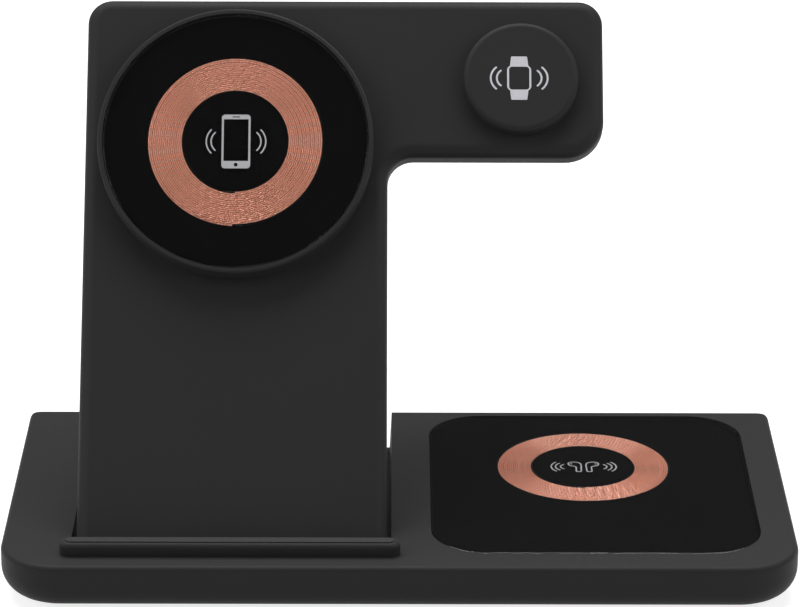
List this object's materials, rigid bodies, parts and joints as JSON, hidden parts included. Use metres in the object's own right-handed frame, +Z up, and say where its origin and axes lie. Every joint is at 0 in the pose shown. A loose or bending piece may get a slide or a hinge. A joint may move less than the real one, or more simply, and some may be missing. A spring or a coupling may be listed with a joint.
{
  "type": "wireless charging station",
  "caption": "Low desk charging base with a flush glass pad and a leaning panel that carries a raised round phone charger and a watch charger and folds back into a notch in the base.",
  "frame": {"origin": "on the desk, under the middle of the object's bounding box", "axes": "+X to the right as seen by the user, +Y to the back, +Z up"},
  "size_m": [0.194, 0.1038, 0.1249],
  "materials": {
    "soft_touch_plastic": "moulded, soft-touch lacquer",
    "black_plastic": "moulded, fine texture",
    "rubber_foot": "moulded silicone rubber",
    "rest_strip": "smooth silicone rubber",
    "smoked_glass": "polished, smoked",
    "ferrite": "pressed and fired ferrite",
    "copper_wire": "lacquered copper wire",
    "circuit_board": "solder-masked glass fibre board",
    "chip": "moulded epoxy",
    "power_coil": "pressed iron powder",
    "zinc_steel": "zinc-plated steel",
    "stainless": "drawn stainless steel",
    "cast_zinc": "die-cast zinc",
    "hinge_steel": "ground steel",
    "magnet": "nickel-plated magnet",
    "cable_jacket": "extruded soft jacket"
  },
  "bodies": {
    "base": {"base_shell": "soft_touch_plastic", "base_cover": "black_plastic", "foot_front_left": "rubber_foot", "foot_front_right": "rubber_foot", "foot_back_left": "rubber_foot", "foot_back_right": "rubber_foot", "cover_screws": "zinc_steel", "lip_strip": "rest_strip", "pad_glass": "smoked_glass", "pad_carrier": "black_plastic", "pad_ferrite": "ferrite", "pad_coil": "copper_wire", "pad_coil_leads": "copper_wire", "main_board": "circuit_board", "main_board_chips": "chip", "main_board_coils": "power_coil", "main_board_screws": "zinc_steel", "inlet_shell": "stainless", "inlet_tongue": "black_plastic", "hinge_block_left": "cast_zinc", "hinge_block_right": "cast_zinc", "hinge_pin_left": "hinge_steel", "hinge_pin_right": "hinge_steel", "base_lead": "cable_jacket"},
    "panel": {"panel_front_shell": "soft_touch_plastic", "panel_back_shell": "soft_touch_plastic", "panel_screws": "zinc_steel", "hinge_leaf_left": "hinge_steel", "hinge_leaf_right": "hinge_steel", "leaf_screws": "zinc_steel", "disc_housing": "soft_touch_plastic", "disc_glass": "smoked_glass", "phone_carrier": "black_plastic", "phone_ferrite": "ferrite", "phone_coil": "copper_wire", "phone_coil_leads": "copper_wire", "magnet_plate": "hinge_steel", "phone_magnets": "magnet", "watch_tray": "black_plastic", "watch_ferrite": "ferrite", "watch_coil": "copper_wire", "watch_magnet": "magnet", "watch_leads": "copper_wire", "panel_board": "circuit_board", "panel_board_chips": "chip", "panel_board_screws": "zinc_steel", "hinge_lead": "cable_jacket"}
  },
  "joints": [
    {"name": "panel_fold", "type": "hinge", "parent": "base", "child": "panel", "pos_m": [0, -0.03467, 0.0083], "axis": [-1, 0, 0], "range_deg": [0, 53.8]}
  ]
}
